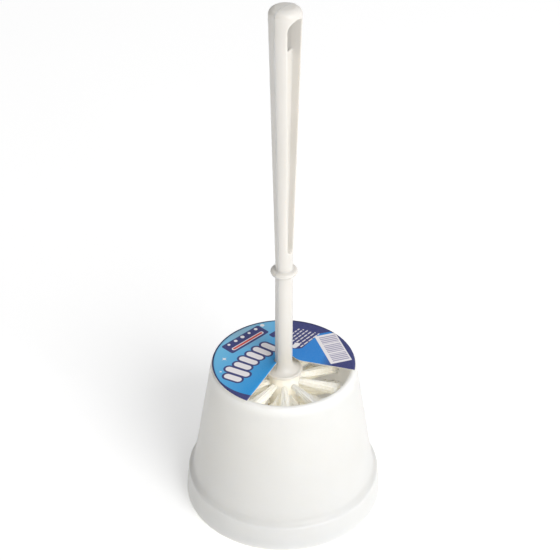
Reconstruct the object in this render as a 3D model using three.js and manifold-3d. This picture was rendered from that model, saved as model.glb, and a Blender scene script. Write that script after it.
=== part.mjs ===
// Toilet brush and holder: a conical plastic holder with a stepped foot and a base plate snapped in
// from below, a one-piece moulded handle with a hanging hole, a tufted head pressed on the handle's
// spigot, and a printed card disc that lies on the holder's rim around the stem.
//
// Millimetres, +Z up. The origin is the centre of the base on the surface it stands on, the Z axis
// is the axis of the holder and of the brush, and -Y is the side that the handle's groove faces.
// Azimuths are in degrees, 0 towards -Y and 90 towards +X.

import * as THREE from 'three';
import { mergeVertices } from 'three/addons/utils/BufferGeometryUtils.js';
import Module from 'manifold-3d';

const wasm = await Module();
wasm.setup();

// ---------------------------------------------------------------- driving dimensions

const GAP = 0.3; // between pieces that touch

const ROUND = { holder: 60, handle: 36, core: 40, tuft: 6 }; // sides of each round piece

// Holder shell: a straight cone, narrow at the top, on a wider stepped foot, with an inward bead
// round the mouth. Its inside widens downwards, so it is open below.
const SHELL = {
  wall: 2.0,
  coneAtZero: 68.4, // outer radius of the cone carried down to z = 0
  coneSlope: 0.1665, // radius lost for each millimetre of height
  top: 110.2,
  beadRadius: 2.3,
  beadDrop: 5.5, // height of the bead's inner side
  footBottomRadius: 70.0,
  footTopRadius: 68.5,
  footHeight: 20.5,
  footEdge: 1.4, // rounding of the step's outer edge
  footCrease: 1.2, // rounding where the cone meets the step
  toeBevel: 0.8,
};

// Base plate: a shallow dish that closes the foot from below, with a foot ring to stand on.
const PLATE = {
  radius: 67.1,
  rimHeight: 7.0,
  rimWall: 2.0,
  footInner: 56.0, // inner radius of the foot ring
  footDepth: 1.5, // how far the underside is raised inside the foot ring
  floorTop: 3.5,
};

// Handle: cone-shaped grip, collar, stem and flange in one moulding.
const HANDLE = {
  top: 372.0,
  domeHeight: 5.0,
  edgeRadius: 4.8,
  gripStart: 188.0,
  gripRadius: 5.9, // at gripStart
  gripSlope: 0.0264, // radius gained for each millimetre of height
  collarRadius: 9.3,
  collarZ: 186.1,
  collarHalf: 1.9,
  stemRadius: 6.2,
  flangeRadius: 13.3,
  flangeZ: 105.3, // middle of the flange's lip
  lipHalf: 0.9,
  flareWidth: 6.0,
  flareHeight: 8.0,
  spigotRadius: 5.0,
  spigotLength: 20.0,
};

// The two grooves of the grip, front and back, with a thin web left between them.
const GROOVE = {
  bottom: 202.0,
  top: 366.2,
  sideWall: 3.5, // grip material left beside the groove
  webHalf: 0.8,
};

// Hanging hole through the web, at the grooves' upper end.
const HOLE = { bottom: 342.0, sag: 3.0 };

// Head core, drilled for the tufts.
const CORE = {
  radius: 11.2,
  bottom: 18.0,
  edgeRadius: 3.0,
  holeRadius: 2.1,
  holeFloor: 7.0, // distance of a drilled hole's floor from the axis
  endHoleRadius: 3.1,
  endHoleDepth: 7.0,
};

// Tufts: rings of bristle bundles that fan out towards the tip.
const TUFT = {
  rings: 5,
  perRing: 10,
  topRingZ: 96.5,
  ringPitch: 16.0,
  firstAzimuth: 24.0,
  rootRadius: CORE.holeRadius - GAP,
  tipRadius: 40.0, // distance of the bristle tips from the axis
  tipHalfWidth: 4.8,
  tipHalfHeight: 5.0,
  bundleEnd: 12.5, // where the bundle starts to fan out
};
const END_TUFT = { tipZ: PLATE.floorTop + GAP, tipRadius: 9.0, rootRadius: CORE.endHoleRadius - GAP };

// Card disc, with a wedge cut out that reaches the hole for the stem.
const CARD = {
  radius: 49.3,
  thickness: 0.6,
  z: SHELL.top + GAP,
  holeRadius: 8.0,
  wedgeMiddle: -27.0,
  wedgeHalfAngle: 49.0,
  apexSetback: 5.6, // the wedge's apex lies this far behind the axis
};

// ---------------------------------------------------------------- materials

function plastic(name, color, roughness) {
  return new THREE.MeshStandardMaterial({ name, color, roughness, metalness: 0 });
}

const whitePlastic = plastic('white_plastic', 0xf1f0ec, 0.32);
const headPlastic = plastic('head_plastic', 0xefebe0, 0.45);
const bristle = plastic('bristle', 0xf2eee2, 0.6);
const printedCard = plastic('printed_card', 0x4fa9d8, 0.5);

// ---------------------------------------------------------------- helpers

const radians = THREE.MathUtils.degToRad;

function closedMesh(geometry) {
  geometry.deleteAttribute('normal');
  geometry.deleteAttribute('uv');
  return mergeVertices(geometry, 1e-4);
}

function toSolid(geometry) {
  const merged = closedMesh(geometry);
  return new wasm.Manifold(new wasm.Mesh({
    numProp: 3,
    vertProperties: new Float32Array(merged.attributes.position.array),
    triVerts: new Uint32Array(merged.index.array),
  }));
}

function fromSolid(solid) {
  const result = solid.getMesh();
  const geometry = new THREE.BufferGeometry();
  geometry.setAttribute('position', new THREE.BufferAttribute(result.vertProperties, result.numProp));
  geometry.setIndex(new THREE.BufferAttribute(result.triVerts, 1));
  return geometry;
}

function named(name, geometry, material) {
  geometry.computeVertexNormals();
  const mesh = new THREE.Mesh(geometry, material);
  mesh.name = name;
  return mesh;
}

// A point of a profile: r from the axis, z up.
function at(r, z) {
  return new THREE.Vector2(r, z);
}

// Points on an arc of a profile, from one angle to another; 0 is outwards and 90 is up.
function arc(r, z, radiusR, radiusZ, fromDegrees, toDegrees, steps) {
  const points = [];
  for (let i = 0; i <= steps; i++) {
    const angle = radians(THREE.MathUtils.lerp(fromDegrees, toDegrees, i / steps));
    points.push(at(r + radiusR * Math.cos(angle), z + radiusZ * Math.sin(angle)));
  }
  return points;
}

// Turns a profile about Z. The profile runs upwards on its outer side.
function revolve(profile, sides) {
  return new THREE.LatheGeometry(profile, sides).rotateX(Math.PI / 2);
}

// Extrudes an outline drawn in X and Z along Y, between two Y values.
function extrudeAcross(shape, yLow, yHigh) {
  const geometry = new THREE.ExtrudeGeometry(shape, {
    depth: yHigh - yLow,
    bevelEnabled: false,
    curveSegments: 8,
  });
  return geometry.rotateX(Math.PI / 2).translate(0, yHigh, 0);
}

function direction(azimuth) {
  return new THREE.Vector2(Math.sin(radians(azimuth)), -Math.cos(radians(azimuth)));
}

function coneRadius(z) {
  return SHELL.coneAtZero - SHELL.coneSlope * z;
}

function gripRadius(z) {
  return HANDLE.gripRadius + HANDLE.gripSlope * (z - HANDLE.gripStart);
}

function grooveHalfWidth(z) {
  return gripRadius(z) - GROOVE.sideWall;
}

// ---------------------------------------------------------------- holder

function holderShell() {
  const { wall, top, beadRadius, beadDrop, footBottomRadius, footTopRadius } = SHELL;
  const { footHeight, footEdge, footCrease, toeBevel } = SHELL;
  const beadZ = top - beadRadius;
  const beadR = coneRadius(beadZ) - beadRadius;
  const creaseR = coneRadius(footHeight + footCrease) + footCrease;
  const profile = [
    at(footBottomRadius - wall, 0),
    at(footBottomRadius - toeBevel, 0),
    at(footBottomRadius, toeBevel),
    ...arc(footTopRadius - footEdge, footHeight - footEdge, footEdge, footEdge, 0, 90, 4),
    ...arc(creaseR, footHeight + footCrease, footCrease, footCrease, 270, 180, 2),
    ...arc(beadR, beadZ, beadRadius, beadRadius, 0, 180, 8),
    at(beadR - beadRadius, beadZ - beadDrop / 2),
    at(coneRadius(beadZ - beadDrop) - wall, beadZ - beadDrop),
    at(coneRadius(footHeight) - wall, footHeight - wall),
    at(footTopRadius - wall, footHeight - wall),
    at(footBottomRadius - wall, 0),
  ];
  return named('holder_shell', closedMesh(revolve(profile, ROUND.holder)), whitePlastic);
}

function basePlate() {
  const { radius, rimHeight, rimWall, footInner, footDepth, floorTop } = PLATE;
  const profile = [
    at(0, footDepth),
    at(footInner - footDepth, footDepth),
    at(footInner, 0),
    at(radius, 0),
    at(radius, rimHeight),
    at(radius - rimWall, rimHeight),
    at(radius - rimWall, floorTop),
    at(0, floorTop),
  ];
  return named('base_plate', closedMesh(revolve(profile, ROUND.holder)), whitePlastic);
}

// ---------------------------------------------------------------- handle

function handleBlank() {
  const h = HANDLE;
  const flareTop = h.flangeZ + h.lipHalf + h.flareHeight;
  const edgeZ = h.top - h.domeHeight;
  const edgeR = gripRadius(edgeZ) - h.edgeRadius;
  const profile = [
    at(0, h.flangeZ - h.lipHalf - h.spigotLength),
    at(h.spigotRadius, h.flangeZ - h.lipHalf - h.spigotLength),
    at(h.spigotRadius, h.flangeZ - h.lipHalf),
    ...arc(h.flangeRadius - h.lipHalf, h.flangeZ, h.lipHalf, h.lipHalf, -90, 90, 4),
    ...arc(h.stemRadius + h.flareWidth, flareTop, h.flareWidth, h.flareHeight, 270, 180, 5),
    ...arc(h.collarRadius - h.collarHalf, h.collarZ, h.collarHalf, h.collarHalf, -90, 90, 6)
      .flatMap((point, i) => (i === 0 ? [at(h.stemRadius, point.y), point] : [point])),
    at(h.gripRadius, h.gripStart),
    ...arc(edgeR, edgeZ, h.edgeRadius, h.edgeRadius, 0, 80, 4),
    at(0, h.top),
  ];
  return revolve(profile, ROUND.handle);
}

// Outline of one groove: tapered sides, round ends.
function grooveOutline() {
  const lowHalf = grooveHalfWidth(GROOVE.bottom);
  const highHalf = grooveHalfWidth(GROOVE.top - grooveHalfWidth(GROOVE.top));
  const shape = new THREE.Shape();
  shape.absarc(0, GROOVE.top - highHalf, highHalf, 0, Math.PI, false);
  shape.absarc(0, GROOVE.bottom + lowHalf, lowHalf, Math.PI, 2 * Math.PI, false);
  return shape;
}

// Outline of the hanging hole: the grooves' own arch above, a shallow curve below.
function holeOutline() {
  const highHalf = grooveHalfWidth(GROOVE.top - grooveHalfWidth(GROOVE.top));
  const lowHalf = grooveHalfWidth(HOLE.bottom);
  const shape = new THREE.Shape();
  shape.absarc(0, GROOVE.top - highHalf, highHalf, 0, Math.PI, false);
  shape.absellipse(0, HOLE.bottom + HOLE.sag, lowHalf, HOLE.sag, Math.PI, 2 * Math.PI, false, 0);
  return shape;
}

function handle() {
  const reach = gripRadius(HANDLE.top) + 1;
  const front = toSolid(extrudeAcross(grooveOutline(), -reach, -GROOVE.webHalf));
  const back = toSolid(extrudeAcross(grooveOutline(), GROOVE.webHalf, reach));
  const hole = toSolid(extrudeAcross(holeOutline(), -GROOVE.webHalf - 1, GROOVE.webHalf + 1));
  const solid = toSolid(handleBlank()).subtract(front).subtract(back).subtract(hole);
  return named('handle', fromSolid(solid), whitePlastic);
}

// ---------------------------------------------------------------- brush head

function tuftPlaces() {
  const places = [];
  for (let ring = 0; ring < TUFT.rings; ring++) {
    for (let k = 0; k < TUFT.perRing; k++) {
      places.push({
        name: `tuft_r${ring + 1}_${String(k + 1).padStart(2, '0')}`,
        z: TUFT.topRingZ - ring * TUFT.ringPitch,
        azimuth: TUFT.firstAzimuth + (k * 360) / TUFT.perRing,
      });
    }
  }
  return places;
}

// Lays a piece made along +Z from the axis outwards at a height and an azimuth.
function pointOutwards(geometry, { z, azimuth }) {
  return geometry.rotateX(Math.PI / 2).rotateZ(radians(azimuth)).translate(0, 0, z);
}

// A round bar along +Z between two distances, with a half width and a half height for each step.
function bar(from, to, sides, steps, halfSizes) {
  const geometry = new THREE.CylinderGeometry(1, 1, to - from, sides, steps);
  geometry.rotateX(Math.PI / 2).translate(0, 0, (from + to) / 2);
  const position = geometry.attributes.position;
  for (let i = 0; i < position.count; i++) {
    const [halfWidth, halfHeight] = halfSizes(position.getZ(i));
    position.setX(i, position.getX(i) * halfWidth);
    position.setY(i, position.getY(i) * halfHeight);
  }
  return geometry;
}

function tuft(place) {
  const fan = (distance) => {
    const t = Math.max(0, (distance - TUFT.bundleEnd) / (TUFT.tipRadius - TUFT.bundleEnd));
    return [
      THREE.MathUtils.lerp(TUFT.rootRadius, TUFT.tipHalfWidth, t),
      THREE.MathUtils.lerp(TUFT.rootRadius, TUFT.tipHalfHeight, t),
    ];
  };
  const geometry = bar(CORE.holeFloor + GAP, TUFT.tipRadius, ROUND.tuft, 2, fan);
  return named(place.name, closedMesh(pointOutwards(geometry, place)), bristle);
}

function endTuft() {
  const rootZ = CORE.bottom + CORE.endHoleDepth - GAP;
  const mouthZ = CORE.bottom - 1;
  const profile = [
    at(0, END_TUFT.tipZ),
    at(END_TUFT.tipRadius, END_TUFT.tipZ),
    at(END_TUFT.tipRadius, END_TUFT.tipZ + 1),
    at(END_TUFT.rootRadius, mouthZ),
    at(END_TUFT.rootRadius, rootZ),
    at(0, rootZ),
  ];
  return named('end_tuft', closedMesh(revolve(profile, ROUND.handle / 2)), bristle);
}

function brushCore() {
  const top = HANDLE.flangeZ - HANDLE.lipHalf - GAP;
  const socketR = HANDLE.spigotRadius + GAP;
  const socketFloor = top - HANDLE.spigotLength;
  const profile = [
    at(0, CORE.bottom + CORE.endHoleDepth),
    at(CORE.endHoleRadius, CORE.bottom + CORE.endHoleDepth),
    at(CORE.endHoleRadius, CORE.bottom),
    ...arc(CORE.radius - CORE.edgeRadius, CORE.bottom + CORE.edgeRadius,
      CORE.edgeRadius, CORE.edgeRadius, -90, 0, 3),
    at(CORE.radius, top),
    at(socketR, top),
    at(socketR, socketFloor),
    at(0, socketFloor),
  ];
  let solid = toSolid(revolve(profile, ROUND.core));
  for (const place of tuftPlaces()) {
    const drill = bar(CORE.holeFloor, CORE.radius + 1, ROUND.tuft, 1,
      () => [CORE.holeRadius, CORE.holeRadius]);
    solid = solid.subtract(toSolid(pointOutwards(drill, place)));
  }
  return named('brush_core', fromSolid(solid), headPlastic);
}

// ---------------------------------------------------------------- card disc

function labelCard() {
  const { radius, thickness, z, holeRadius, wedgeMiddle, wedgeHalfAngle, apexSetback } = CARD;
  const disc = new THREE.CylinderGeometry(radius, radius, thickness, ROUND.holder);
  disc.rotateX(Math.PI / 2).translate(0, 0, z + thickness / 2);
  const stemHole = new THREE.CylinderGeometry(holeRadius, holeRadius, 4 * thickness, ROUND.handle);
  stemHole.rotateX(Math.PI / 2).translate(0, 0, z + thickness / 2);
  const reach = 2 * radius;
  const apex = direction(wedgeMiddle).multiplyScalar(-apexSetback);
  const sides = [wedgeMiddle - wedgeHalfAngle, wedgeMiddle + wedgeHalfAngle]
    .map((azimuth) => direction(azimuth).multiplyScalar(reach).add(apex));
  const wedge = new THREE.ExtrudeGeometry(new THREE.Shape([apex, ...sides]), {
    depth: 4 * thickness,
    bevelEnabled: false,
  });
  wedge.translate(0, 0, z - 1.5 * thickness);
  const solid = toSolid(disc).subtract(toSolid(stemHole)).subtract(toSolid(wedge));
  return named('label_card', fromSolid(solid), printedCard);
}

// ---------------------------------------------------------------- assembly

const brushSet = new THREE.Group();
brushSet.add(basePlate(), holderShell());
brushSet.add(handle(), brushCore(), endTuft());
brushSet.add(...tuftPlaces().map(tuft));
brushSet.add(labelCard());

export default brushSet;
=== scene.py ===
"""Looks of the toilet brush and its holder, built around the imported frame.

Metres, in the frame's own axes: Z is the common axis of holder and brush, and -Y is the side that
the handle's groove faces. Azimuths are in degrees, 0 towards -Y and 90 towards +X. Shapes are
worked out in millimetres and scaled by MM when their mesh is made.
"""

import math

import bpy
import numpy as np
from mathutils import Matrix, Vector


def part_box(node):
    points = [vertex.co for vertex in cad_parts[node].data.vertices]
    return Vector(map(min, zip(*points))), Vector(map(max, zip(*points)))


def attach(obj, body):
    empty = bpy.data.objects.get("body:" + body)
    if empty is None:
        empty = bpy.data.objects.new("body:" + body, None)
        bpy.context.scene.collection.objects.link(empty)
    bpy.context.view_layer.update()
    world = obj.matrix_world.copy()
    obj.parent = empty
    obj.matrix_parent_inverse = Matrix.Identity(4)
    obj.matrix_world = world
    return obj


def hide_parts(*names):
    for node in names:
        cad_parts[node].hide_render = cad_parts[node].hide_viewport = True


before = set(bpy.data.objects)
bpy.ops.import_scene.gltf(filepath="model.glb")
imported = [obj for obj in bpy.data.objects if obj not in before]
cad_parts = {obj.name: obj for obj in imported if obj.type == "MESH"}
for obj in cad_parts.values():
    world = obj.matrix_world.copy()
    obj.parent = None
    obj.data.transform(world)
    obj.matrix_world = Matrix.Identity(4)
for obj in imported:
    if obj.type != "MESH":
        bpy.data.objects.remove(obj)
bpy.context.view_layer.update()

MM = 0.001
rng = np.random.default_rng(7)  # one fixed seed, so that every run is the same

# ---------------------------------------------------------------- driving sizes, from the frame


def box_mm(node):
    """Lowest and highest corner of a CAD node, in millimetres."""
    low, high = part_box(node)
    return np.array(low) / MM, np.array(high) / MM


SHELL_HIGH = box_mm("holder_shell")[1]
PLATE_HIGH = box_mm("base_plate")[1]
HANDLE_LOW, HANDLE_HIGH = box_mm("handle")
CORE_LOW, CORE_HIGH = box_mm("brush_core")
CARD_LOW, CARD_HIGH = box_mm("label_card")
END_LOW, END_HIGH = box_mm("end_tuft")

# Camera. A place is given as right, away and up, in metres, as seen from its side of the brush.
CAMERA_AZIMUTH = -51.0
CAMERA_PLACE = (-0.0027, -0.7686, 0.6961)
CAMERA_DOWN = 33.94  # degrees
CAMERA_ROLL = 0.16
LENS, SENSOR_WIDTH = 90.0, 36.0

# Lights and stage. Places and directions are given in the same way.
ROOM_BRIGHT_SIDE = (0.6, -0.4, 0.7)
ROOM_RANGE = (-0.5, 1.0)  # how far towards the bright side the room turns from dark to bright
ROOM_DARK, ROOM_BRIGHT = 0.02, 0.88
BACKDROP = 0.95  # what shows past the floor
KEY_WATTS, KEY_PLACE, KEY_SIDE = 316.0, (3.6, -5.2, 4.6), 4.0
FILL_WATTS, FILL_PLACE, FILL_SIDE = 3.0, (0.2, -0.5, 1.2), 0.5
GLOW_WATTS, GLOW_PLACE, GLOW_SIDE = 10.0, (0.7, -1.2, 0.7), 1.0
FLOOR_GLOW = 0.21
FLOOR_HALF = 6000.0  # millimetres
DIFFUSE_BOUNCES = 12  # so that light reaches the gaps between the tufts

# Holder
WALL = 2.0
CONE_AT_ZERO = 68.4  # outer radius of the cone carried down to z = 0
CONE_SLOPE = 0.1665  # radius lost for each millimetre of height
FOOT_RADIUS = SHELL_HIGH[0]
FOOT_TAPER = 1.5
FOOT_TOP_RADIUS = FOOT_RADIUS - FOOT_TAPER
FOOT_HEIGHT = 20.5
TOE = 0.8
STEP_EDGE = 2.5  # rounding of the step's outer edge
STEP_CREASE = 6.0  # rounding where the step meets the cone
STEP_DROP = 0.4  # how much the rounded edge lies below the foot's full height
RIM_Z = SHELL_HIGH[2]
BEAD_RADIUS = 2.3
BEAD_DROP = 5.5  # from the bead's middle down to the inner wall
SHELL_SIDES, PLATE_SIDES = 192, 160

# Foot plate
PLATE_WALL = 2.0
PLATE_FLOOR = 3.5
FOOT_RING_INNER = 56.0
FOOT_RING_DEPTH = 1.5

# Handle
HANDLE_TOP = HANDLE_HIGH[2]
GRIP_START = 188.0
GRIP_RADIUS = 5.9
GRIP_SLOPE = 0.0264  # radius gained for each millimetre of height
TOP_ROUNDING = 4.8
TOP_CROWN = 0.5  # how far the top falls from its middle to CROWN_REACH
CROWN_REACH = 8.0
COLLAR_Z = 186.1
COLLAR_RADIUS = 9.3
COLLAR_HALF = 1.9
COLLAR_FILLET = 1.2
STEM_RADIUS = 6.2
FLANGE_RADIUS = HANDLE_HIGH[0]
FLANGE_Z = 105.3
LIP_RADIUS = 0.9
LIP_FILLET = 0.5
DISC_HALF = 0.65  # the flange inside its lip is thinner, and a little lower
DISC_DROP = 0.25
FLARE = 8.0  # fillet between stem and flange
SPIGOT_RADIUS = 5.0
GROOVE_BOTTOM = 202.0
GROOVE_TOP = 366.2
GROOVE_SIDE_WALL = 3.5
GROOVE_DRAFT = 0.07
GROOVE_EDGE = 0.9
WEB_HALF = 0.8
WEB_EDGE = 0.7
HOLE_BOTTOM = 342.0
HOLE_SAG = 3.0  # how much lower the hole's floor is in its middle than at its sides
PARTING_DRAFT = 0.3  # each half of the mould narrows away from the parting plane y = 0
RIDGE_HALF, RIDGE_PROUD, RIDGE_SUNK = 0.35, 0.22, 0.12

# Brush head
CORE_RADIUS = CORE_HIGH[0]
TUFTS_PER_RING = 10
RINGS = 10
TOP_RING_Z = 96.5
RING_PITCH = 8.0
FIRST_AZIMUTH = 24.0
AZIMUTH_SCATTER = 0.8
TUFT_ROOT, TIP_RADIUS = 8.5, 40.0  # a tuft's two ends, from the axis
ROOT_HALF, TIP_WIDE, TIP_HIGH = 1.6, 4.6, 4.9  # half sizes of a tuft at its root and its tip
FAN_CURVE = 0.9  # below 1, a tuft widens faster near the core
MOST_DROOP, DROOP_CURVE = 2.2, 1.4
PACKED_WIDTH, PACKED_LENGTH = 0.86, 0.95  # shares of a tuft that its packed middle fills
TUFT_STRANDS, STRAND_RADIUS = 46, 0.34
STRAND_STEPS = 7
STRAND_TAPER = 0.8
LENGTH_SCATTER, CURL = 0.012, 0.3
END_STRANDS, END_STRAND_RADIUS = 110, 0.3
END_ROOT_HALF, END_TIP_HALF = 2.5, 8.4

# Card disc. Places on it are right and away, in millimetres, as seen from the camera's side.
CARD_RADIUS = CARD_HIGH[1]
CARD_Z = CARD_LOW[2]
CARD_RIM = 1.0  # width of its navy edge
CARD_EDGES = (-10.6, 240.2)  # where its outer edge starts and ends, from right towards away
CARD_HOLE, CARD_HOLE_RADIUS = (1.35, 0.0), 7.9
CARD_HOLE_ARC = (48, 203)  # where the hole's edge is round
CARD_BEND, CARD_BEND_SIZE = (9.2, 2.0), 5.0  # where the wedge's right side turns into the hole
CARD_RIGHT_SIDE = (0.962, -0.273)
CARD_TIP = (-4.8, -4.6)  # left inner corner
CARD_TIP_LIFT = 2.7

# ---------------------------------------------------------------- geometry helpers


def direction(azimuth):
    """Unit vector (x, y) towards an azimuth in degrees."""
    angle = math.radians(azimuth)
    return np.array([math.sin(angle), -math.cos(angle)])


def from_camera_side(right, away):
    """Turns a place as seen from the camera's side into the frame's x and y."""
    angle = math.radians(CAMERA_AZIMUTH)
    cos, sin = math.cos(angle), math.sin(angle)
    return right * cos - away * sin, right * sin + away * cos


def seen_from(right, away, up):
    """The same for a place with a height."""
    return Vector((*from_camera_side(right, away), up))


def new_object(name, verts, faces, material, normals=None):
    """A smooth-shaded mesh object from vertices in millimetres."""
    mesh = bpy.data.meshes.new(name)
    mesh.from_pydata((np.asarray(verts) * MM).tolist(), [], faces)
    mesh.update()
    mesh.shade_smooth()
    if normals is not None:
        mesh.normals_split_custom_set_from_vertices(normals.tolist())
    obj = bpy.data.objects.new(name, mesh)
    bpy.context.scene.collection.objects.link(obj)
    mesh.materials.append(material)
    return obj


def arc(r, z, radius, start, end, steps):
    """Points (r, z) on an arc; 0 degrees points outwards and 90 up."""
    angles = np.radians(np.linspace(start, end, steps + 1))
    return [(r + radius * math.cos(a), z + radius * math.sin(a)) for a in angles]


def subdivided(profile, longest):
    """The profile with its long straight stretches cut into shorter ones."""
    points = []
    for (r0, z0), (r1, z1) in zip(profile, profile[1:]):
        parts = max(1, math.ceil(math.hypot(r1 - r0, z1 - z0) / longest))
        points += [(r0 + (r1 - r0) * i / parts, z0 + (z1 - z0) * i / parts) for i in range(parts)]
    return points + [profile[-1]]


def revolve(name, profile, sides, material, longest=6.0):
    """Turns a profile (r, z) about Z: a closed loop, or a line that starts and ends on the axis."""
    points = subdivided(profile, longest)
    on_axis = points[0][0] == 0
    if not on_axis:
        points = points[:-1]
    ring = points[1:-1] if on_axis else points
    angles = np.linspace(0, 2 * math.pi, sides, endpoint=False)
    verts = [(r * math.cos(a), r * math.sin(a), z) for r, z in ring for a in angles]
    count = len(ring)
    rows = count - 1 if on_axis else count
    faces = []
    for i in range(rows):
        j = (i + 1) % count
        for k in range(sides):
            n = (k + 1) % sides
            faces.append((i * sides + k, i * sides + n, j * sides + n, j * sides + k))
    if on_axis:
        first = len(verts)
        verts += [(0, 0, points[0][1]), (0, 0, points[-1][1])]
        last_row = (count - 1) * sides
        for k in range(sides):
            n = (k + 1) % sides
            faces.append((first, n, k))
            faces.append((first + 1, last_row + k, last_row + n))
    obj = new_object(name, verts, faces, material)
    normals = obj.modifiers.new("weighted_normals", "WEIGHTED_NORMAL")
    normals.keep_sharp = True
    return obj


def tube_faces(first, rings, sides, clockwise=False):
    """Faces of a closed tube: quads between its rings, which follow each other, and two caps.

    Seen from beyond the last ring, the rings turn counter-clockwise unless clockwise is set.
    """
    last = first + (rings - 1) * sides
    faces = []
    for a in range(first, last, sides):
        b = a + sides
        for k in range(sides):
            n = (k + 1) % sides
            if clockwise:
                faces.append((a + k, b + k, b + n, a + n))
            else:
                faces.append((a + k, a + n, b + n, b + k))
    start_cap = tuple(range(first, first + sides))
    end_cap = tuple(range(last, last + sides))
    if clockwise:
        return [*faces, start_cap, end_cap[::-1]]
    return [*faces, start_cap[::-1], end_cap]


def smooth_min(a, b, size):
    """The smaller of two distances, with a fillet of about that size where they meet."""
    overlap = np.maximum(size - np.abs(a - b), 0.0) / size
    return np.minimum(a, b) - overlap * overlap * size / 4


def smooth_max(a, b, size):
    """The larger of two distances, filleted in the same way."""
    return -smooth_min(-a, -b, size)


def cell_vertices(axes, values):
    """One point in each cell that the surface crosses, at the middle of its crossings."""
    shape = [n - 1 for n in values.shape]
    corners = [(i, j, k) for i in (0, 1) for j in (0, 1) for k in (0, 1)]

    def corner(offset):
        return values[tuple(slice(o, o + n) for o, n in zip(offset, shape))]

    signs = sum((corner(c) < 0).astype(np.int8) for c in corners)
    active = np.argwhere((signs > 0) & (signs < 8))
    total = np.zeros((len(active), 3))
    hits = np.zeros(len(active))
    for start in corners:
        for axis in range(3):
            if start[axis]:
                continue
            end = tuple(o + (1 if n == axis else 0) for n, o in enumerate(start))
            a = corner(start)[tuple(active.T)]
            b = corner(end)[tuple(active.T)]
            crosses = (a < 0) != (b < 0)
            share = np.where(crosses, a / np.where(crosses, a - b, 1.0), 0.0)
            point = active + np.array(start, float)
            point[:, axis] += share
            total += point * crosses[:, None]
            hits += crosses
    cells = total / hits[:, None]
    points = np.stack([np.interp(cells[:, n], np.arange(len(axes[n])), axes[n]) for n in range(3)], 1)
    index = -np.ones(shape, np.int64)
    index[tuple(active.T)] = np.arange(len(active))
    return points, index


def cell_faces(values, index):
    """Quads between the cells round every grid edge that the surface crosses."""
    faces = []
    for axis in range(3):
        u, v = (axis + 1) % 3, (axis + 2) % 3
        low = [slice(None)] * 3
        high = [slice(None)] * 3
        low[axis] = slice(0, -1)
        high[axis] = slice(1, None)
        inside = values[tuple(low)] < 0
        crossing = inside != (values[tuple(high)] < 0)
        where = np.argwhere(crossing)
        where = where[(where[:, u] > 0) & (where[:, v] > 0)]
        where = where[(where[:, u] < index.shape[u]) & (where[:, v] < index.shape[v])]
        flip = ~inside[tuple(where.T)]
        ring = []
        for du, dv in ((1, 1), (0, 1), (0, 0), (1, 0)):
            cell = where.copy()
            cell[:, u] -= du
            cell[:, v] -= dv
            ring.append(index[tuple(cell.T)])
        quads = np.stack(ring, 1)
        quads[flip] = quads[flip][:, ::-1]
        faces.append(quads)
    return np.concatenate(faces)


def gradient(field, points):
    """Slope of a distance field at each point."""
    step = 0.02
    parts = []
    for axis in range(3):
        offset = np.zeros(3)
        offset[axis] = step
        parts.append(field(*(points + offset).T) - field(*(points - offset).T))
    return np.stack(parts, 1) / (2 * step)


def surface_of(name, field, axes, material):
    """Mesh of a distance field's zero surface, pulled exactly onto it, with the field's normals."""
    values = field(*np.meshgrid(*axes, indexing="ij"))
    points, index = cell_vertices(axes, values)
    faces = cell_faces(values, index)
    pulls, least_slope = 4, 0.05
    for _ in range(pulls):
        slope = gradient(field, points)
        steepness = np.maximum((slope * slope).sum(1), least_slope)
        points = points - slope * (field(*points.T) / steepness)[:, None]
    slope = gradient(field, points)
    normals = slope / np.maximum(np.linalg.norm(slope, axis=1), 1e-9)[:, None]
    return new_object(name, points, faces.tolist(), material, normals)


# ---------------------------------------------------------------- materials


def linear(r, g, b):
    """An sRGB colour from 0 to 255 as a linear RGBA."""
    def channel(c):
        c /= 255
        return c / 12.92 if c <= 0.04045 else ((c + 0.055) / 1.055) ** 2.4
    return (channel(r), channel(g), channel(b), 1.0)


class Nodes:
    """A short way to write a material's node tree."""

    def __init__(self, name):
        self.material = bpy.data.materials.new(name)
        self.material.use_nodes = True
        self.tree = self.material.node_tree
        self.shader = self.tree.nodes["Principled BSDF"]

    def add(self, kind, inputs=None, **settings):
        node = self.tree.nodes.new(kind)
        for key, value in settings.items():
            setattr(node, key, value)
        for key, value in (inputs or {}).items():
            self.put(node.inputs[key], value)
        return node

    def put(self, socket, value):
        if isinstance(value, bpy.types.NodeSocket):
            self.tree.links.new(value, socket)
        else:
            socket.default_value = value

    def math(self, operation, a, b=0.0, c=0.0):
        return self.add("ShaderNodeMath", {0: a, 1: b, 2: c}, operation=operation).outputs[0]

    def vector(self, operation, a, b=(0, 0, 0), output=0):
        return self.add("ShaderNodeVectorMath", {0: a, 1: b}, operation=operation).outputs[output]

    def mix(self, factor, a, b):
        node = self.add("ShaderNodeMix", data_type="RGBA")
        self.put(node.inputs[0], factor)
        self.put(node.inputs[6], a)
        self.put(node.inputs[7], b)
        return node.outputs[2]

    def span(self, value, low, high, to_low=0.0, to_high=1.0):
        node = self.add("ShaderNodeMapRange", {0: value, 1: low, 2: high, 3: to_low, 4: to_high})
        return node.outputs[0]

    def millimetres(self):
        coordinates = self.add("ShaderNodeTexCoord").outputs["Object"]
        return self.vector("MULTIPLY", coordinates, (1 / MM,) * 3)

    def noise(self, vector, scale, detail=2.0, roughness=0.5):
        inputs = {"Vector": vector, "Scale": scale, "Detail": detail, "Roughness": roughness}
        return self.add("ShaderNodeTexNoise", inputs).outputs["Fac"]

    def bump(self, height, distance, strength=1.0):
        inputs = {"Height": height, "Distance": distance, "Strength": strength}
        return self.add("ShaderNodeBump", inputs).outputs["Normal"]

    def set(self, **values):
        for key, value in values.items():
            self.put(self.shader.inputs[key.replace("_", " ")], value)


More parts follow.
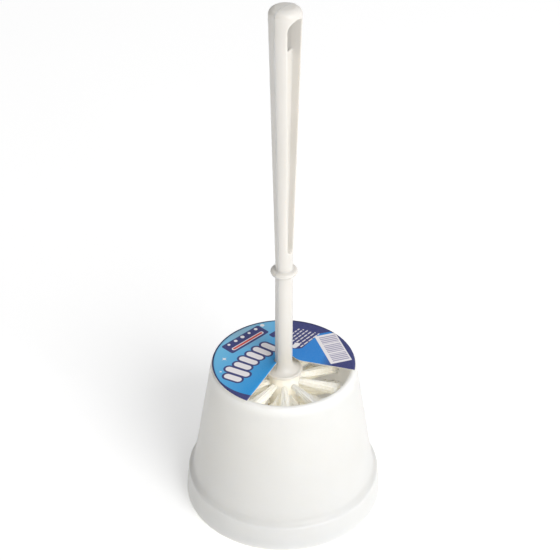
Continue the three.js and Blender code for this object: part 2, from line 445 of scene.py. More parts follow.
def moulded_plastic(name, colour, shade, roughness=0.33, depth=3.0):
    """Injection-moulded polypropylene: faint orange peel, hairline scuffs and uneven gloss.

    The roughness stays above 0.28, because the denoiser takes smoother plastic for a mirror and
    leaves specks on it.
    """
    n = Nodes(name)
    place = n.millimetres()
    cloud = n.noise(place, 0.03, 1.0)
    n.set(Base_Color=n.mix(n.span(cloud, 0.35, 0.7), colour, shade))
    smudge = n.span(n.noise(place, 0.1, 2.0), 0.3, 0.7, roughness, roughness + 0.06)
    scuffed = n.vector("MULTIPLY", place, (0.9, 0.9, 0.25))
    scuff = n.span(n.noise(scuffed, 2.2, 4.0, 0.75), 0.6, 0.8, 0.0, 0.06)
    n.set(Roughness=n.math("ADD", smudge, scuff))
    height = n.math("MULTIPLY_ADD", n.noise(place, 3.5, 1.0), 0.15, n.noise(place, 0.7, 2.0))
    n.set(Normal=n.bump(height, 0.006 * MM, 0.5))
    n.shader.inputs["IOR"].default_value = 1.49
    n.shader.inputs["Subsurface Weight"].default_value = 1.0
    n.shader.inputs["Subsurface Radius"].default_value = (1.0, 0.96, 0.9)
    n.shader.inputs["Subsurface Scale"].default_value = depth * MM
    return n.material


def bristle_material(name):
    """Polypropylene filaments: warm white and translucent, with tone that varies per strand."""
    n = Nodes(name)
    place = n.millimetres()
    tone = n.noise(place, 0.8, 2.0)
    warm = n.mix(n.span(tone, 0.35, 0.65), linear(252, 250, 242), linear(247, 243, 230))
    n.set(Base_Color=warm)
    n.set(Roughness=n.span(n.noise(place, 3.0), 0.3, 0.7, 0.38, 0.55))
    n.set(Normal=n.bump(n.noise(place, 6.0), 0.01 * MM, 0.4))
    n.shader.inputs["Subsurface Weight"].default_value = 1.0
    n.shader.inputs["Subsurface Radius"].default_value = (1.0, 0.92, 0.8)
    n.shader.inputs["Subsurface Scale"].default_value = 2.0 * MM
    return n.material


# Inks of the card, and one grey for a painted sheen
WHITE = linear(244, 240, 242)
NAVY = linear(50, 54, 118)
CYAN = linear(112, 194, 234)
BLUE = linear(22, 150, 222)
DEEP_BLUE = linear(26, 132, 216)
# painted sheen: a soft grey that stands in for a reflection on the coated card, not an ink
PAINTED_SHEEN_GREY = linear(158, 190, 206)
CORAL = linear(214, 70, 62)
STRIPE = linear(84, 74, 146)


class Print(Nodes):
    """Flat artwork on a disc, laid out in millimetres as seen from the camera's side."""

    def __init__(self, name):
        super().__init__(name)
        inputs = {"Vector": self.millimetres(), "Rotation": (0, 0, math.radians(CAMERA_AZIMUTH))}
        turned = self.add("ShaderNodeMapping", inputs, vector_type="TEXTURE").outputs[0]
        self.sheet = self.vector("MULTIPLY", turned, (1, 1, 0))
        self.colour = None

    def at(self, centre, angle):
        """Sheet coordinates that start at a centre and lie along an angle in degrees."""
        inputs = {"Vector": self.sheet, "Location": (*centre, 0),
                  "Rotation": (0, 0, math.radians(angle))}
        return self.add("ShaderNodeMapping", inputs, vector_type="TEXTURE").outputs[0]

    def axes(self, centre, angle):
        """The separate coordinates of at: along the angle, across it, and up."""
        return self.add("ShaderNodeSeparateXYZ", {0: self.at(centre, angle)}).outputs

    def pill(self, centre, angle, half_length, half_width, rounding):
        """Distance to a box with rounded corners, or to a pill when its half width is 0."""
        place = self.vector("ABSOLUTE", self.at(centre, angle))
        past = self.vector("SUBTRACT", place, (half_length, half_width, 0))
        past = self.vector("MAXIMUM", past, (0, 0, 0))
        return self.math("SUBTRACT", self.vector("LENGTH", past, output=1), rounding)

    def disc(self, centre, radius):
        return self.pill(centre, 0, 0, 0, radius)

    def outside_disc(self, centre, radius):
        return self.math("MULTIPLY", self.disc(centre, radius), -1.0)

    def beyond(self, start, end):
        """Distance to the half of the sheet that lies left of the way from start to end."""
        angle = math.degrees(math.atan2(end[1] - start[1], end[0] - start[0]))
        return self.math("MULTIPLY", self.axes(start, angle)[1], -1.0)

    def sparkle(self, centre, size):
        """Distance-like value of a star with four points and hollow sides."""
        place = self.vector("ABSOLUTE", self.at(centre, 45))
        axes = self.add("ShaderNodeSeparateXYZ", {0: place}).outputs
        roots = [self.math("SQRT", axes[k]) for k in (0, 1)]
        return self.math("SUBTRACT", self.math("ADD", *roots), math.sqrt(size))

    def join(self, *distances):
        result = distances[0]
        for other in distances[1:]:
            result = self.math("MINIMUM", result, other)
        return result

    def overlap(self, *distances, rounding=0.01):
        result = distances[0]
        for other in distances[1:]:
            result = self.math("SMOOTH_MAX", result, other, rounding)
        return result

    def ink(self, distance, colour, grow=0.0, soft=0.12, strength=1.0):
        """Lays a colour over all that is nearer than the given growth."""
        cover = self.span(distance, grow + soft, grow - soft, 0.0, strength)
        self.colour = self.mix(cover, self.colour, colour)


def blue_ground(n):
    """Pale blue on the left that turns to plain blue, with a painted sheen at the back: a soft grey
    patch that stands in for a reflection.
    """
    across = n.axes((-46, 14), -35)[0]
    n.colour = n.mix(n.span(across, 0.0, 46.0), CYAN, BLUE)
    # painted sheen: a soft grey patch at the back left, where a reflection lies on the card
    n.ink(n.disc((-30, 36), 12), PAINTED_SHEEN_GREY, soft=14.0, strength=0.8)
    n.ink(n.beyond((2, 0), (2, -1)), DEEP_BLUE, soft=0.3)


def navy_fields(n):
    """Navy round the edge, at the back, on the far right and in a crescent at the front left."""
    n.ink(n.beyond((30, 0), (26, -12)), NAVY, soft=5.0)
    n.ink(n.beyond((35.8, 33.6), (47.7, 3.4)), NAVY)
    right_half = n.beyond((1, 0), (1, -1))
    field = n.overlap(right_half, n.beyond((0, 15), (1, 15)), n.beyond((12.5, 15), (27, 35.5)),
                      rounding=3.0)
    above = n.overlap(n.beyond((26, 33), (36, 36)), right_half)
    rim = n.outside_disc((0, 0), CARD_RADIUS - CARD_RIM)
    crescent = n.overlap(n.outside_disc((-12, -1.7), 37), n.beyond((0, 9), (-1, 9)),
                         n.beyond((-8, 0), (-8, 1)))
    n.ink(n.join(field, above, rim, crescent), NAVY)


def dash_rows(n):
    """Rows of dashes that stand for small print, and one plain white label below them."""
    slant = 50
    for row in range(6):
        along = n.axes((8.5 + 2.5 * row, 37.5 - 1.2 * row), slant)[0]
        wave = n.math("PINGPONG", n.math("ADD", along, 1.7 * row), 1.5 + 0.2 * row)
        dash = n.math("SUBTRACT", 0.45, wave)
        line = n.pill((6.5 + 2.4 * row, 33 - 1.6 * row), slant, 7.5 + 0.5 * row, 0, 0.5)
        n.ink(n.overlap(line, dash), WHITE, strength=0.85)
    n.ink(n.pill((8.5, 18.8), slant, 1.6, 0, 1.9), WHITE)


def striped_panel(n):
    """A white panel with even stripes, parted by a few blank bands."""
    centre, slant = (34.5, 15.8), 18.5
    n.ink(n.pill(centre, slant, 7.3, 16.3, 0.5), WHITE)
    inside = n.pill((35.3, 15.8), slant, 6.0, 15.2, 0.05)
    up = n.axes(centre, slant)[1]
    stripes = n.math("SUBTRACT", n.math("PINGPONG", n.math("ADD", up, 20.0), 1.0), 0.48)
    gaps = n.math("SUBTRACT", 0.9, n.math("PINGPONG", n.math("ADD", up, 15.5), 5.2))
    n.ink(n.overlap(inside, stripes, gaps), STRIPE, soft=0.2)


def bubble_banner(n):
    """A navy banner with plain bubbles over a coral stripe, and a small navy tab beside it."""
    slant = 45.5
    n.ink(n.pill((-27, 25.8), slant, 16.5, 4.2, 1.6), NAVY)
    n.ink(n.pill((-25.2, 24.1), slant, 13.5, 0, 1.5), WHITE)
    n.ink(n.pill((-25.2, 24.1), slant, 13.2, 0, 0.9), CORAL)
    bubbles = [n.disc((-38.3 + 4.6 * i, 19.2 + 4.7 * i), 1.1 + 0.22 * (i % 3)) for i in range(6)]
    n.ink(n.join(*bubbles), WHITE)
    n.ink(n.pill((-6.5, 32), slant, 2.5, 1.5, 1.0), NAVY)


def bowed_bars(n):
    """A bowed row of rounded white bars, edged in navy; the second bar is the longest."""
    count, half_width = 7, 2.55
    bars = []
    for i in range(count):
        share = i / (count - 1)
        bow = 2.5 * math.sin(math.pi * share)
        centre = (-34.5 + 24.5 * share - bow * 0.83, -18.5 + 35.5 * share + bow * 0.56)
        half_length = 6.6 if i == 1 else 4.0 + 0.6 * (i % 2)
        bars.append(n.pill(centre, 152 - 6 * share, half_length, 0, half_width))
    row = n.join(*bars)
    n.ink(row, NAVY, grow=1.5)
    n.ink(row, WHITE)


def printed_card(name):
    """Coated card in blues and navy, with rounded bars, bubbles, dashes and a striped panel."""
    n = Print(name)
    blue_ground(n)
    navy_fields(n)
    dash_rows(n)
    striped_panel(n)
    bubble_banner(n)
    bowed_bars(n)
    n.ink(n.join(n.sparkle((-41, 2.7), 2.6), n.sparkle((-43, -11.6), 1.5)), WHITE, soft=0.25)

    fibre = n.noise(n.millimetres(), 1.5, 4.0, 0.7)
    n.set(Base_Color=n.mix(n.span(fibre, 0.3, 0.8, 0.0, 0.12), n.colour, linear(205, 212, 222)))
    n.set(Roughness=n.span(fibre, 0.3, 0.7, 0.36, 0.46))
    n.shader.inputs["Specular IOR Level"].default_value = 0.3
    n.set(Normal=n.bump(n.noise(n.millimetres(), 0.5, 3.0), 0.02 * MM, 0.5))
    return n.material


def paper_material(name):
    """Uncoated white board: the card's cut edges and underside."""
    n = Nodes(name)
    place = n.millimetres()
    fibre = n.noise(place, 1.2, 5.0, 0.7)
    n.set(Base_Color=n.mix(fibre, linear(232, 230, 226), linear(214, 211, 204)))
    n.set(Roughness=n.span(fibre, 0.3, 0.7, 0.75, 0.9))
    n.set(Normal=n.bump(fibre, 0.03 * MM, 0.6))
    return n.material


shell_plastic = moulded_plastic(
    "shell_plastic", linear(247, 245, 239), linear(244, 242, 235), depth=11.0)
handle_plastic = moulded_plastic(
    "handle_plastic", linear(227, 224, 219), linear(223, 220, 214), depth=1.3)
head_plastic = moulded_plastic(
    "head_plastic", linear(234, 231, 223), linear(229, 225, 216), roughness=0.42)
bristle = bristle_material("bristle_strands")
card_print = printed_card("card_print")
card_paper = paper_material("card_paper")

# ---------------------------------------------------------------- holder


def cone_radius(z):
    """Outer radius of the holder's cone at a height."""
    return CONE_AT_ZERO - CONE_SLOPE * z


def foot_step():
    """The step from foot to cone: an S of two arcs that touch, the second one touching the cone."""
    edge_r = FOOT_TOP_RADIUS - STEP_EDGE
    edge_z = FOOT_HEIGHT - STEP_EDGE - STEP_DROP
    reach = STEP_EDGE + STEP_CREASE
    lean = math.atan(CONE_SLOPE)
    off_cone = (edge_r - CONE_AT_ZERO) * math.cos(lean) + edge_z * math.sin(lean)
    meet = lean + math.acos((STEP_CREASE - off_cone) / reach)
    crease_r = edge_r + reach * math.cos(meet)
    crease_z = edge_z + reach * math.sin(meet)
    lean, meet = math.degrees(lean), math.degrees(meet)
    return [
        *arc(edge_r, edge_z, STEP_EDGE, 4, meet - 2, 8),
        *arc(crease_r, crease_z, STEP_CREASE, 178 + meet, 180 + lean, 10),
    ]


def holder_profile():
    """Outline of the shell: foot, step, cone and rolled mouth, and the inner faces back down."""
    bead_z = RIM_Z - BEAD_RADIUS
    bead_r = cone_radius(bead_z) - BEAD_RADIUS
    bead_inner = bead_r - BEAD_RADIUS
    skirt, corner = 2.2, 1.2
    neck_z = bead_z - BEAD_DROP
    neck_r = cone_radius(neck_z) - WALL
    waist_r = cone_radius(FOOT_HEIGHT) - WALL
    ledge_r = FOOT_TOP_RADIUS - WALL
    ledge_z = FOOT_HEIGHT - WALL
    small_bevel, bevel = 0.6, 0.8
    return [
        (FOOT_RADIUS - WALL, 0.0),
        *arc(FOOT_RADIUS - TOE, TOE, TOE, -90, 0, 4),
        *foot_step(),
        *arc(bead_r, bead_z, BEAD_RADIUS, 5, 180, 20),
        (bead_inner, bead_z - skirt),
        *arc(bead_inner + corner, bead_z - skirt - 0.4, corner, 180, 225, 4),
        (neck_r - small_bevel / 2, neck_z + small_bevel),
        (neck_r, neck_z),
        (waist_r, FOOT_HEIGHT - small_bevel),
        (waist_r + small_bevel, ledge_z),
        (ledge_r - bevel, ledge_z),
        (ledge_r, ledge_z - bevel),
        (FOOT_RADIUS - WALL, 0.0),
    ]


def make_shell():
    shell = revolve("holder_body", holder_profile(), SHELL_SIDES, shell_plastic)
    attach(shell, "holder")
    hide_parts("holder_shell")


def plate_profile():
    """Outline of the foot plate: a dish with a shallow sink, and a foot ring and gate mark below."""
    radius, rim = PLATE_HIGH[0], PLATE_HIGH[2]
    floor = PLATE_FLOOR
    rounding, corner = 0.5, 1.2
    gate, sink = 4.0, 22.0
    return [
        (0.0, 1.0),
        (gate, 1.0),
        *arc(gate + 0.6, FOOT_RING_DEPTH - 0.1, 0.4, 180, 90, 3),
        *arc(FOOT_RING_INNER - 1.5, FOOT_RING_DEPTH - 0.3, 0.3, 90, 0, 3),
        *arc(FOOT_RING_INNER, 0.4, 0.4, 180, 270, 3),
        *arc(radius - 0.6, 0.6, 0.6, -90, 0, 4),
        *arc(radius - rounding, rim - rounding, rounding, 0, 90, 4),
        *arc(radius - PLATE_WALL + rounding, rim - rounding, rounding, 90, 180, 4),
        *arc(radius - PLATE_WALL - corner, floor + corner, corner, 0, -90, 5),
        (sink + 2.0, floor),
        (sink, floor - 0.5),
        (0.0, floor - 0.5),
    ]


def make_foot_plate():
    plate = revolve("foot_plate", plate_profile(), PLATE_SIDES, shell_plastic)
    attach(plate, "holder")
    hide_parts("base_plate")


# ---------------------------------------------------------------- handle


def grip_radius(z):
    """Outer radius of the grip at a height; it widens towards the top."""
    return GRIP_RADIUS + GRIP_SLOPE * (z - GRIP_START)


def groove_half_width(z):
    """Half the width of the grip's groove at a height."""
    return grip_radius(z) - GROOVE_SIDE_WALL


def disc_with_round_edge(rho, z, middle, radius, half):
    """Distance to a flat disc whose edge is half round."""
    return np.hypot(np.maximum(rho - (radius - half), 0), z - middle) - half


def turned_field(rho, z):
    """Distance to the handle before its grooves are cut, from the distance to the axis."""
    top = HANDLE_TOP - TOP_CROWN * np.minimum(rho / CROWN_REACH, 1.0) ** 2
    side = rho - (grip_radius(z) - TOP_ROUNDING)
    over = z - (top - TOP_ROUNDING)
    corner = np.hypot(np.maximum(side, 0), np.maximum(over, 0))
    grip = corner + np.minimum(np.maximum(side, over), 0) - TOP_ROUNDING
    grip = np.maximum(grip, COLLAR_Z - z)
    stem = np.maximum(rho - STEM_RADIUS, z - COLLAR_Z)
    collar = disc_with_round_edge(rho, z, COLLAR_Z, COLLAR_RADIUS, COLLAR_HALF)
    shaft = smooth_min(np.minimum(grip, stem), collar, COLLAR_FILLET)
    lip = np.hypot(rho - (FLANGE_RADIUS - LIP_RADIUS), z - FLANGE_Z) - LIP_RADIUS
    above_disc = np.abs(z - FLANGE_Z + DISC_DROP) - DISC_HALF
    disc = np.maximum(above_disc, rho - FLANGE_RADIUS + LIP_RADIUS)
    body = smooth_min(shaft, smooth_min(disc, lip, LIP_FILLET), FLARE)
    body = np.maximum(body, FLANGE_Z - LIP_RADIUS - z)
    spigot = np.maximum(rho - SPIGOT_RADIUS, np.maximum(HANDLE_LOW[2] - z, z - FLANGE_Z))
    return np.minimum(body, spigot)


def tapered_slot(x, z, low, high, low_radius, high_radius):
    """Distance to an outline with tapered sides and round ends, between two centres on x = 0."""
    length = high - low
    lean = (low_radius - high_radius) / length
    side = math.sqrt(1 - lean * lean)
    px = np.abs(x)
    pz = z - low
    along = pz * side - px * lean
    straight = px * side + pz * lean - low_radius
    below = np.hypot(px, pz) - low_radius
    above = np.hypot(px, pz - length) - high_radius
    return np.where(along < 0, below, np.where(along > side * length, above, straight))


def handle_field(x, y, z):
    """Distance to the handle: the turned body less its two grooves and the hanging hole."""
    rho = np.hypot(x, np.abs(y) + PARTING_DRAFT)
    body = turned_field(rho, z)
    low_half = groove_half_width(GROOVE_BOTTOM)
    high_half = groove_half_width(GROOVE_TOP - groove_half_width(GROOVE_TOP))
    slot = tapered_slot(x, z, GROOVE_BOTTOM + low_half, GROOVE_TOP - high_half, low_half, high_half)
    draft = GROOVE_DRAFT * np.maximum(grip_radius(z) - np.abs(y), 0.0)
    sag_half = high_half + 0.5
    ellipse = np.sqrt(np.maximum(1 - (x / sag_half) ** 2, 0.0))
    hole_floor = HOLE_BOTTOM + HOLE_SAG * (1 - ellipse)
    beside_web = smooth_min(WEB_HALF - np.abs(y), hole_floor - z, WEB_EDGE)
    cut = smooth_max(slot + draft, beside_web, GROOVE_EDGE)
    return smooth_max(body, -cut, GROOVE_EDGE)


def make_handle():
    step_across, step_up, margin = 0.45, 0.6, 1.0
    reach = FLANGE_RADIUS + margin
    across = np.arange(-reach, reach + step_across, step_across)
    up = np.arange(HANDLE_LOW[2] - margin, HANDLE_TOP + margin, step_up)
    grip = surface_of("handle_moulding", handle_field, (across, across, up), handle_plastic)
    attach(grip, "brush")
    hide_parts("handle")


def outline_distance(origin, heading):
    """How far the turned outline lies from a point inside it, along a heading (r, z)."""
    low, high = 0.0, 20.0
    for _ in range(30):
        middle = (low + high) / 2
        r = origin[0] + heading[0] * middle
        z = origin[1] + heading[1] * middle
        if turned_field(np.array([abs(r)]), np.array([z]))[0] < 0:
            low = middle
        else:
            high = middle
    return low


def parting_path():
    """Points (x, z) up one side of the handle's outline, over its top and down the other side."""
    start, shoulder, step = FLANGE_Z + 2.0, HANDLE_TOP - 8.0, 0.5
    path = [(outline_distance((0, z), (1, 0)), z) for z in np.arange(start, shoulder, step)]
    for angle in np.radians(np.arange(0, 181, 6)):
        heading = (math.cos(angle), math.sin(angle))
        distance = outline_distance((0, shoulder), heading)
        path.append((heading[0] * distance, shoulder + heading[1] * distance))
    for z in np.arange(shoulder - step, start, -step):
        path.append((-outline_distance((0, z), (1, 0)), z))
    return np.array(path)


def make_parting_line():
    """The mould's parting line: a hair-thin ridge that lies over the plane y = 0."""
    path = parting_path()
    along = np.gradient(path, axis=0)
    along /= np.linalg.norm(along, axis=1)[:, None]
    out = np.stack([along[:, 1], -along[:, 0]], 1)
    section = [(-RIDGE_HALF, -RIDGE_SUNK), (-RIDGE_HALF / 3, RIDGE_PROUD),
               (RIDGE_HALF / 3, RIDGE_PROUD), (RIDGE_HALF, -RIDGE_SUNK)]
    verts = []
    for point, normal in zip(path, out):
        for aside, rise in section:
            x, z = point + normal * rise
            verts.append((x, aside, z))
    faces = tube_faces(0, len(path), len(section))
    ridge = new_object("parting_line", verts, faces, handle_plastic)
    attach(ridge, "brush")


# ---------------------------------------------------------------- brush head


def make_core():
    low, high = CORE_LOW[2], CORE_HIGH[2]
    rounding, edge = 3.0, 0.5
    bore, bore_depth = SPIGOT_RADIUS + 0.3, 20.0
    profile = [
        (0.0, low),
        *arc(CORE_RADIUS - rounding, low + rounding, rounding, -90, 0, 8),
        *arc(CORE_RADIUS - edge, high - edge, edge, 0, 90, 4),
        *arc(bore + edge, high - edge, edge, 90, 180, 3),
        (bore, high - bore_depth + 0.5),
        (0.0, high - bore_depth),
    ]
    core = revolve("head_core", profile, 96, head_plastic, longest=4.0)
    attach(core, "brush")
    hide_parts("brush_core")
    return core


def strands(name, paths, radius, solids=((), ()), sides=5):
    """Thin strands along paths of shape (strand, step, xyz), closed at both ends, with solids."""
    count, steps, _ = paths.shape
    along = np.gradient(paths, axis=1)
    along /= np.linalg.norm(along, axis=2, keepdims=True)
    up = np.where(np.abs(along[..., 2:3]) > 0.9, [[[1.0, 0, 0]]], [[[0, 0, 1.0]]])
    across = np.cross(along, up)
    across /= np.linalg.norm(across, axis=2, keepdims=True)
    rise = np.cross(across, along)
    angles = np.linspace(0, 2 * math.pi, sides, endpoint=False)
    taper = np.linspace(1.0, STRAND_TAPER, steps)[None, :, None, None]
    ring = (across[:, :, None] * np.cos(angles)[None, None, :, None]
            + rise[:, :, None] * np.sin(angles)[None, None, :, None])
    verts = (paths[:, :, None] + ring * radius * taper).reshape(-1, 3)
    faces = []
    for strand in range(count):
        faces += tube_faces(strand * steps * sides, steps, sides, clockwise=True)
    first = len(verts)
    faces += [tuple(first + k for k in face) for face in solids[1]]
    verts = np.concatenate([verts, np.reshape(solids[0], (-1, 3))])
    return new_object(name, verts, faces, bristle)


def disc_points(count):
    """Evenly spread points in a unit disc, in a sunflower pattern with a little scatter."""
    order = np.arange(count) + 0.5
    radius = np.sqrt(order / count)
    angle = order * math.pi * (3 - math.sqrt(5))
    points = np.stack([radius * np.cos(angle), radius * np.sin(angle)], 1)
    return points + rng.normal(0, 0.05, points.shape)


def tuft_frame(azimuth, z, droop, share):
    """Middle line of a tuft and the half sizes it fans out to, at shares of its length."""
    distance = TUFT_ROOT + (TIP_RADIUS - TUFT_ROOT) * share
    fan = np.clip((distance - CORE_RADIUS) / (TIP_RADIUS - CORE_RADIUS), 0, 1)
    out = direction(azimuth)
    middle = np.stack([out[0] * distance, out[1] * distance, z - droop * fan ** DROOP_CURVE], -1)
    wide = ROOT_HALF + (TIP_WIDE - ROOT_HALF) * fan ** FAN_CURVE
    high = ROOT_HALF + (TIP_HIGH - ROOT_HALF) * fan ** FAN_CURVE
    return middle, wide, high


def tuft_paths(azimuth, z, droop):
    """Strand paths of one tuft that leaves the core outwards and fans towards its tips."""
    spread = disc_points(TUFT_STRANDS)
    share = np.linspace(0, 1, STRAND_STEPS)[None, :]
    reach = (1 + rng.normal(0, LENGTH_SCATTER, TUFT_STRANDS)).clip(0.96, 1.01)[:, None]
    middle, wide, high = tuft_frame(azimuth, z, droop, reach * share)
    curl = rng.normal(0, CURL, (TUFT_STRANDS, 2, 1)) * share[:, None, :] ** 2
    aside = spread[:, :1] * wide + curl[:, 0]
    rise = spread[:, 1:] * high + curl[:, 1]
    side = direction(azimuth + 90)
    return middle + np.stack([side[0] * aside, side[1] * aside, rise], 2)


def packed_middles(tufts, sides=14):
    """The closely packed middle of each tuft, as a solid that its outer strands lie on."""
    share = np.linspace(0, PACKED_LENGTH, STRAND_STEPS)
    angles = np.linspace(0, 2 * math.pi, sides, endpoint=False)
    verts, faces = [], []
    for azimuth, z, droop in tufts:
        middle, wide, high = tuft_frame(azimuth, z, droop, share)
        side = direction(azimuth + 90)
        aside = PACKED_WIDTH * wide[:, None] * np.cos(angles)
        rise = PACKED_WIDTH * high[:, None] * np.sin(angles)
        ring = middle[:, None] + np.stack([side[0] * aside, side[1] * aside, rise], 2)
        faces += tube_faces(len(verts), STRAND_STEPS, sides)
        verts += ring.reshape(-1, 3).tolist()
    return verts, faces


def make_tufts():
    """Staggered rings of tufts. Every second ring stands for CAD nodes of its own."""
    pieces = []
    for ring in range(RINGS):
        z = TOP_RING_Z - ring * RING_PITCH
        turn = (ring % 2) * 180 / TUFTS_PER_RING
        tufts = []
        for k in range(TUFTS_PER_RING):
            scatter = rng.normal(0, AZIMUTH_SCATTER)
            azimuth = FIRST_AZIMUTH + turn + k * 360 / TUFTS_PER_RING + scatter
            tufts.append((azimuth, z, rng.uniform(0.0, MOST_DROOP)))
        paths = np.concatenate([tuft_paths(*tuft) for tuft in tufts])
        solids = packed_middles(tufts)
        piece = strands(f"tuft_ring_{ring + 1:02d}", paths, STRAND_RADIUS, solids)
        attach(piece, "brush")
        if ring % 2 == 0:
            numbers = range(1, TUFTS_PER_RING + 1)
            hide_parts(*[f"tuft_r{ring // 2 + 1}_{k:02d}" for k in numbers])
        pieces.append(piece)
    return pieces


def make_end_tuft():
    spread = disc_points(END_STRANDS)
    share = np.linspace(0, 1, STRAND_STEPS)[None, :]
    top, low = END_HIGH[2] - 3.0, END_LOW[2] + 0.3
    half = END_ROOT_HALF + (END_TIP_HALF - END_ROOT_HALF) * share ** 1.3
    z = top - (top - low) * share * (1 - rng.uniform(0, 0.03, (END_STRANDS, 1)))
    x = spread[:, :1] * half
    y = spread[:, 1:] * half
    piece = strands("end_bristles", np.stack([x, y, z], 2), END_STRAND_RADIUS)
    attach(piece, "brush")
    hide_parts("end_tuft")
    return piece


# ---------------------------------------------------------------- card disc


def round_points(centre, radius, start, end, count):
    """Points (right, away) on an arc; 0 degrees points right and 90 away."""
    angles = np.radians(np.linspace(start, end, count))
    return np.array(centre) + radius * np.stack([np.cos(angles), np.sin(angles)], 1)


def card_inner_edge(count):
    """Edge round the stem, from the right side of the wedge round the back to its left side."""
    bend_points, tip_points = 6, 3
    ring_points = count - bend_points - tip_points
    ring = round_points(CARD_HOLE, CARD_HOLE_RADIUS, *CARD_HOLE_ARC, ring_points)
    corner = np.array(CARD_BEND)
    first = corner + np.array(CARD_RIGHT_SIDE) * CARD_BEND_SIZE
    share = np.linspace(0, 1, bend_points, endpoint=False)[:, None]
    bend = (1 - share) ** 2 * first + 2 * share * (1 - share) * corner + share ** 2 * ring[0]
    share = np.linspace(0, 1, tip_points + 1)[1:, None]
    tip = ring[-1] + share * (np.array(CARD_TIP) - ring[-1])
    return np.concatenate([bend, ring, tip])


def sheet_faces(rows, columns):
    """Lower, upper and edge faces of a thin sheet between two grids of points."""
    count = rows * columns
    lower, upper = [], []
    for i in range(rows - 1):
        for k in range(columns - 1):
            a = i * columns + k
            b = a + columns
            lower.append((a, b, b + 1, a + 1))
            upper.append((count + a, count + a + 1, count + b + 1, count + b))
    loop = [*range(columns)]
    loop += [i * columns + columns - 1 for i in range(1, rows)]
    loop += [(rows - 1) * columns + k for k in range(columns - 2, -1, -1)]
    loop += [i * columns for i in range(rows - 2, 0, -1)]
    edge = [(a, b, count + b, count + a) for a, b in zip(loop, loop[1:] + loop[:1])]
    return lower, upper, edge


def make_card():
    """A thin disc with a wedge cut out; its left inner corner stands up against the stem."""
    around, steps = 150, 22
    clearance, slack, lift_start = 0.02, 0.05, 0.55
    thick = CARD_HIGH[2] - CARD_LOW[2] - slack
    inner = card_inner_edge(around)[:, None]
    outer = round_points((0, 0), CARD_RADIUS, *CARD_EDGES, around)[:, None]
    share = np.linspace(0, 1, steps)[None, :, None]
    flat = inner * (1 - share) + outer * share
    past = (np.linspace(0, 1, around) - lift_start) / (1 - lift_start)
    lifted = np.clip(past, 0, 1)[:, None] ** 2
    rise = CARD_TIP_LIFT * lifted * (1 - share[..., 0]) ** 1.2
    x, y = from_camera_side(flat[..., 0], flat[..., 1])
    low = np.stack([x, y, CARD_Z + clearance + rise], 2).reshape(-1, 3)
    lower, upper, edge = sheet_faces(around, steps)
    verts = np.concatenate([low, low + (0, 0, thick)])
    card = new_object("printed_disc", verts, lower + upper + edge, card_paper)
    card.data.materials.append(card_print)
    edge_first = len(lower) + len(upper)
    for polygon in card.data.polygons[len(lower):edge_first]:
        polygon.material_index = 1
    for polygon in card.data.polygons[edge_first:]:
        polygon.use_smooth = False
    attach(card, "card")
    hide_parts("label_card")


# ---------------------------------------------------------------- stage, lights, camera


def floor_paint():
    """Matt white that glows faintly, like an overexposed backdrop."""
    n = Nodes("floor_paint")
    tone = n.noise(n.millimetres(), 0.004, 2.0)
    n.set(Base_Color=n.mix(tone, linear(254, 254, 254), linear(252, 252, 252)))
    n.set(Roughness=0.9)
    n.shader.inputs["Emission Color"].default_value = (1.0, 1.0, 1.0, 1.0)
    n.shader.inputs["Emission Strength"].default_value = FLOOR_GLOW
    return n.material


def make_floor():
    far = FLOOR_HALF
    corners = [(-far, -far, 0), (far, -far, 0), (far, far, 0), (-far, far, 0)]
    floor = new_object("floor", corners, [(0, 1, 2, 3)], floor_paint())
    return floor


def make_room():
    """A pale room that is brighter on the right, in front of a pale even backdrop."""
    world = bpy.data.worlds.new("studio")
    bpy.context.scene.world = world
    world.use_nodes = True
    tree = world.node_tree
    background = tree.nodes["Background"]
    background.inputs["Color"].default_value = (1.0, 1.0, 1.0, 1.0)
    place = tree.nodes.new("ShaderNodeTexCoord").outputs["Generated"]
    towards = tree.nodes.new("ShaderNodeVectorMath")
    towards.operation = "DOT_PRODUCT"
    tree.links.new(place, towards.inputs[0])
    towards.inputs[1].default_value = seen_from(*ROOM_BRIGHT_SIDE)
    room = tree.nodes.new("ShaderNodeMapRange")
    tree.links.new(towards.outputs["Value"], room.inputs["Value"])
    room_sockets = ("From Min", "From Max", "To Min", "To Max")
    for key, value in zip(room_sockets, (*ROOM_RANGE, ROOM_DARK, ROOM_BRIGHT)):
        room.inputs[key].default_value = value
    seen = tree.nodes.new("ShaderNodeLightPath").outputs["Is Camera Ray"]
    backdrop = tree.nodes.new("ShaderNodeMix")
    tree.links.new(seen, backdrop.inputs[0])
    tree.links.new(room.outputs[0], backdrop.inputs[2])
    backdrop.inputs[3].default_value = BACKDROP
    tree.links.new(backdrop.outputs[0], background.inputs["Strength"])


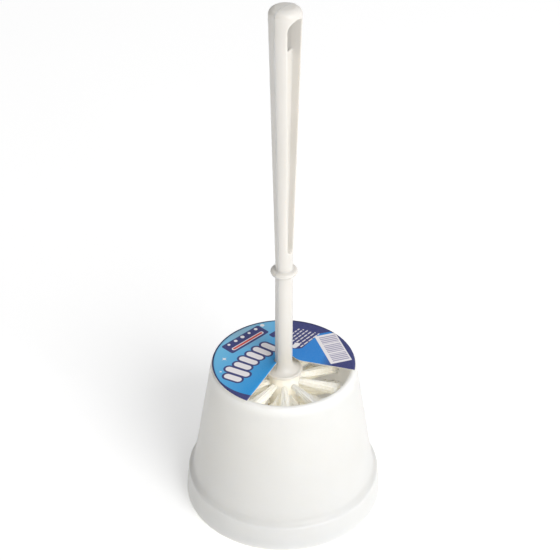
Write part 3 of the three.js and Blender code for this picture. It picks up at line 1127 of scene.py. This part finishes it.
def square_light(name, place, side, watts, aim):
    """A square lamp that points at a height above the base."""
    light = bpy.data.lights.new(name, "AREA")
    light.shape = "SQUARE"
    light.size = side
    light.energy = watts
    lamp = bpy.data.objects.new(name, light)
    bpy.context.scene.collection.objects.link(lamp)
    lamp.location = seen_from(*place)
    lamp.rotation_euler = (Vector((0, 0, aim)) - lamp.location).to_track_quat("-Z", "Y").to_euler()
    return lamp


def collection_of(name, *pieces):
    """A collection for light linking: the pieces that a lamp lights, or that block it."""
    collection = bpy.data.collections.new(name)
    for piece in pieces:
        collection.objects.link(piece)
    return collection


def make_lights(floor, inside_pieces):
    """One large soft lamp high on the right, and two weak ones for what is inside the holder."""
    square_light("key", KEY_PLACE, KEY_SIDE, KEY_WATTS, aim=0.15)
    inside = collection_of("inside_pieces", *inside_pieces)
    fill = square_light("mouth_fill", FILL_PLACE, FILL_SIDE, FILL_WATTS, aim=0.1)
    fill.light_linking.receiver_collection = inside
    # This one comes through the holder's wall: only the floor blocks it.
    glow = square_light("wall_glow", GLOW_PLACE, GLOW_SIDE, GLOW_WATTS, aim=0.1)
    glow.light_linking.receiver_collection = inside
    glow.light_linking.blocker_collection = collection_of("blocks_wall_glow", floor)


def make_camera():
    data = bpy.data.cameras.new("camera")
    data.sensor_width = SENSOR_WIDTH
    data.lens = LENS
    camera = bpy.data.objects.new("camera", data)
    bpy.context.scene.collection.objects.link(camera)
    camera.location = seen_from(*CAMERA_PLACE)
    camera.rotation_mode = "XYZ"
    turn = Matrix.Rotation(math.radians(CAMERA_AZIMUTH), 3, "Z")
    pitch = Matrix.Rotation(math.radians(90 - CAMERA_DOWN), 3, "X")
    roll = Matrix.Rotation(math.radians(CAMERA_ROLL), 3, "Z")
    camera.rotation_euler = (turn @ pitch @ roll).to_euler("XYZ")
    bpy.context.scene.camera = camera


make_shell()
make_foot_plate()
make_handle()
make_parting_line()
inside_pieces = [make_core(), *make_tufts(), make_end_tuft()]
make_card()
floor = make_floor()
make_room()
make_lights(floor, inside_pieces)
make_camera()

bpy.context.scene.view_settings.view_transform = "Standard"
bpy.context.scene.cycles.diffuse_bounces = DIFFUSE_BOUNCES
bpy.context.view_layer.update()
